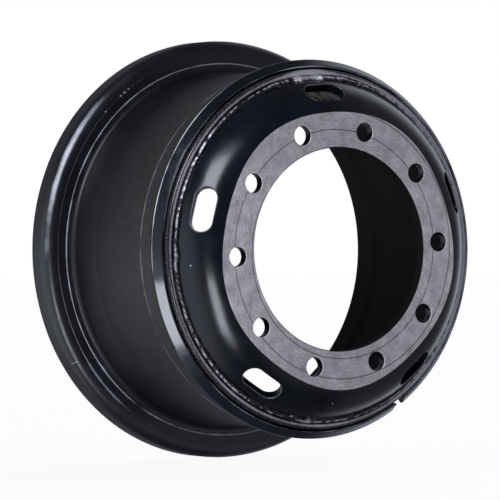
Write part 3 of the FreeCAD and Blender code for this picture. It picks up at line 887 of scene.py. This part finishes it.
ripple, sway = uneven_heights(2.6), uneven_heights(7.0)
lumps = np.zeros(weld_t.shape)
for place_deg, size, width in ((75, 1.5, 1.6), (83, 1.2, 1.0), (91, 1.4, 1.1), (100, 1.9, 2.0),
                               (107, 1.2, 1.4), (258, 1.2, 1.5), (265, 2.0, 1.8), (22, 0.9, 2.0),
                               (182, 0.8, 2.4)):
    lumps += size * bell(np.degrees(weld_t), place_deg, width)
bead_height = 2.5 + 0.38 * ripple + lumps + waves(weld_t, 0.0, size=0.28, seed=21)
toe_arc = np.radians(70.3 - 3.2 * lumps)
toe_disc = np.stack([dome_r + dome_out * np.sin(toe_arc), dome_y - dome_out * np.cos(toe_arc) + 0.3], axis=-1)
toe_rim = np.stack([242.0 + 0.35 * sway + 0.5 * lumps, np.full(weld_t.shape, 48.3)], axis=-1)
print("bead from", bead_height.min().round(1), "to", bead_height.max().round(1), "mm high")

# %% [markdown]
# Between its two toes the bead's section is a flat arch, four times the share along it times the share that
# is left. Its crest carries painted highlights, in dashes where the ripples stand high, and at the right it
# is rubbed bright over its whole width.

# %% Weld bead
share = np.linspace(0, 1, 13)[:, None]
chord = toe_disc[None] * (1 - share[..., None]) + toe_rim[None] * share[..., None]
outward, root_place = np.array([0.43, -0.90]), np.array([240.1, 53.5])
arch = 4 * share * (1 - share) * bead_height[None]
bead = chord + arch[..., None] * outward
root = np.broadcast_to(root_place, (1, len(weld_t), 2))
loop = np.concatenate([bead, root, bead[:1]])
# Painted highlight: pale dashes of glint along the crest; at the right the crest is also rubbed bare.
crest_glints_and_wear = bell(share, 0.62, (0.22 + 0.50 * rubbed_side(weld_t))[None])
crest_glints_and_wear = crest_glints_and_wear * np.clip(0.95 + 0.45 * ripple, 0.2, 1.5)[None]
weld_glints_and_wear = np.concatenate([crest_glints_and_wear, np.zeros((2, len(weld_t)))]) * (0.45 + 0.95 * paint_gone(weld_t))[None]
disc_weld = make_piece(
    "weld_bead", [(wheel_point(loop[..., 0], loop[..., 1], weld_t[None]), None, 0, weld_glints_and_wear)],
    [weld_paint], "disc_weld", sharp_degrees=60)

# %% [markdown]
# ## Camera
# The photograph was taken from far off with a long lens, level with the wheel's axis and 33 degrees to its
# left. The camera stands on that line at five metres, so the ellipses of the rim come out as round as they do
# there.

# %% Camera
azimuth, elevation, distance_m = math.radians(-32.773), math.radians(-0.031), 5.0583
target = Vector((-0.14784, 0.0, -0.00117))
back = Vector((math.sin(azimuth) * math.cos(elevation), -math.cos(azimuth) * math.cos(elevation),
               math.sin(elevation)))
camera = bpy.data.objects.new("camera", bpy.data.cameras.new("camera"))
bpy.context.collection.objects.link(camera)
camera.data.sensor_width = 36.0
camera.data.lens = 267.74
camera.location = target + back * distance_m
camera.rotation_euler = (-back).to_track_quat("-Z", "Y").to_euler()
bpy.context.scene.camera = camera
print("camera at", [round(c, 3) for c in camera.location])

# %% [markdown]
# ## Light
# Black enamel is all reflection, so the light is chosen by what each surface mirrors. The room is dim and
# bluish, with a paler wall at the right and soft glows at the left and low in front. An image of a studio
# could give that, but a few soft steps on the direction are easier to move. The camera sees white behind the
# wheel.

# %% Room
world = bpy.data.worlds.new("studio")
bpy.context.scene.world = world
world.use_nodes = True
sky = world.node_tree
outlook = add(sky, "TexCoord")[0]
heading = add(sky, "SeparateXYZ", s0=outlook)
soft_edge, dot = {"interpolation_type": "SMOOTHSTEP"}, {"operation": "DOT_PRODUCT"}
level = add(sky, "MapRange", soft_edge, s0=heading[1], s1=0.4, s2=0.9, s3=0.09, s4=0.21)[0]
tilted = add(sky, "VectorMath", dot, s0=outlook, s1=(0.0, 1.0, 0.2))[1]
right_side = add(sky, "MapRange", soft_edge, s0=heading[0], s1=0.45, s2=0.70, s3=0.0, s4=1.05)[0]
front_edge = add(sky, "MapRange", soft_edge, s0=tilted, s1=0.02, s2=0.54, s3=0.15, s4=1.0)[0]
back_edge = add(sky, "MapRange", soft_edge, s0=heading[1], s1=0.45, s2=0.78, s3=1.0, s4=0.2)[0]
between = add(sky, "Math", TIMES, s0=front_edge, s1=back_edge)[0]
right_wall = add(sky, "Math", TIMES, s0=right_side, s1=between)[0]
level = add(sky, "Math", s0=level, s1=right_wall)[0]
glows = (((-0.90, 0.25, -0.33), 0.55, 0.92, 0.95), ((0.46, -0.83, -0.32), 0.86, 1.0, 0.25))
for direction, start, end, glow in glows:
    towards = add(sky, "VectorMath", dot, s0=outlook, s1=direction)[1]
    patch = add(sky, "MapRange", soft_edge, s0=towards, s1=start, s2=end, s3=0.0, s4=glow)[0]
    level = add(sky, "Math", s0=level, s1=patch)[0]
seen = add(sky, "LightPath")[0]
shown = add(sky, "Mix", {"data_type": "FLOAT"}, s0=seen, s2=level, s3=1.0)[0]
tint = add(sky, "Mix", COLOUR_MIX, s0=seen, s6=linear("#e6ebfa"), s7=linear("#ffffff"))[2]
surface = next(n for n in sky.nodes if n.type == "BACKGROUND")
sky.links.new(tint, surface.inputs[0])
sky.links.new(shown, surface.inputs[1])
print("room with a right wall and", len(glows), "glows")

# %% [markdown]
# One soft box hangs at the upper left and one stands low in front: they make the streaks on the dome. A
# third, low at the left, gives the bright stripe on the lock ring, which alone receives it. Light linking
# does that, with a collection of the pieces that each box lights. The boxes leave the floor out, so that it
# stays even.


# %% Soft boxes
def soft_box(name, direction, width, height, power, lit, far=2.6):
    """Rectangular lamp, far metres off in a direction, that looks at the wheel and lights some pieces."""
    lamp = bpy.data.lights.new(name, "AREA")
    lamp.shape, lamp.size, lamp.size_y, lamp.energy = "RECTANGLE", width, height, power
    lamp.color = linear("#eef1ff")[:3]
    box = bpy.data.objects.new(name, lamp)
    bpy.context.collection.objects.link(box)
    box.location = [c * far for c in direction]
    box.rotation_euler = (-Vector(box.location)).to_track_quat("-Z", "Y").to_euler()
    box.visible_camera = False
    group = bpy.data.collections.new("lit_by_" + name)
    for piece in lit:
        group.objects.link(piece)
    box.light_linking.receiver_collection = group
    print(name, power, "W on", [piece.name for piece in lit])


whole_wheel = (rim_base, wheel_disc, disc_weld, lock_ring)
soft_box("box_upper_left", (-0.702, -0.422, 0.574), 1.3, 1.3, 52, whole_wheel)
soft_box("box_low_front", (-0.568, -0.676, -0.469), 0.66, 1.5, 28, whole_wheel)
soft_box("box_low_left", (-0.80, -0.19, -0.48), 1.2, 1.35, 60, (lock_ring,))

# %% [markdown]
# ## Floor
# The floor is a plain pale sheet under the flange. It glows a little and only the camera sees it, so that the
# wheel doesn't mirror it.

# %% Floor
floor_reach = np.linspace(-30, 30, 3)
floor_x, floor_y = np.meshgrid(floor_reach, floor_reach, indexing="ij")
floor_points = np.stack([floor_x, floor_y, np.full(floor_x.shape, cad_low[2])], axis=-1)
floor_mesh = bpy.data.meshes.new("floor")
floor_mesh.from_pydata(floor_points.reshape(-1, 3), [], grid_faces(np.ones((2, 2), dtype=bool))[:, ::-1])
floor = bpy.data.objects.new("floor", floor_mesh)
bpy.context.collection.objects.link(floor)
# Matt paper: an even white with no highlight.
paper, _, shader, _ = new_finish("white_paper_floor")
shader.inputs["Base Color"].default_value = linear("#8a8a8a")
shader.inputs["Roughness"].default_value = 0.9
shader.inputs["Emission Color"].default_value = linear("#ffffff")
shader.inputs["Emission Strength"].default_value = 0.92
floor_mesh.materials.append(paper)
floor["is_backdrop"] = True
floor.visible_glossy = floor.visible_diffuse = floor.visible_shadow = False
bpy.context.scene.view_settings.view_transform = "Standard"
print("floor at", round(cad_low[2] / MM, 1), "mm")

# %% [markdown]
# ## Size
# The dressed wheel's box is printed, to be set beside the solids' box printed at the start. The dressed
# wheel has to fill the same box as the solids.

# %% Sizes for the size rule
low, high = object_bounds()
print("dressed box in mm:", [round((b - a) / MM, 1) for a, b in zip(low, high)])
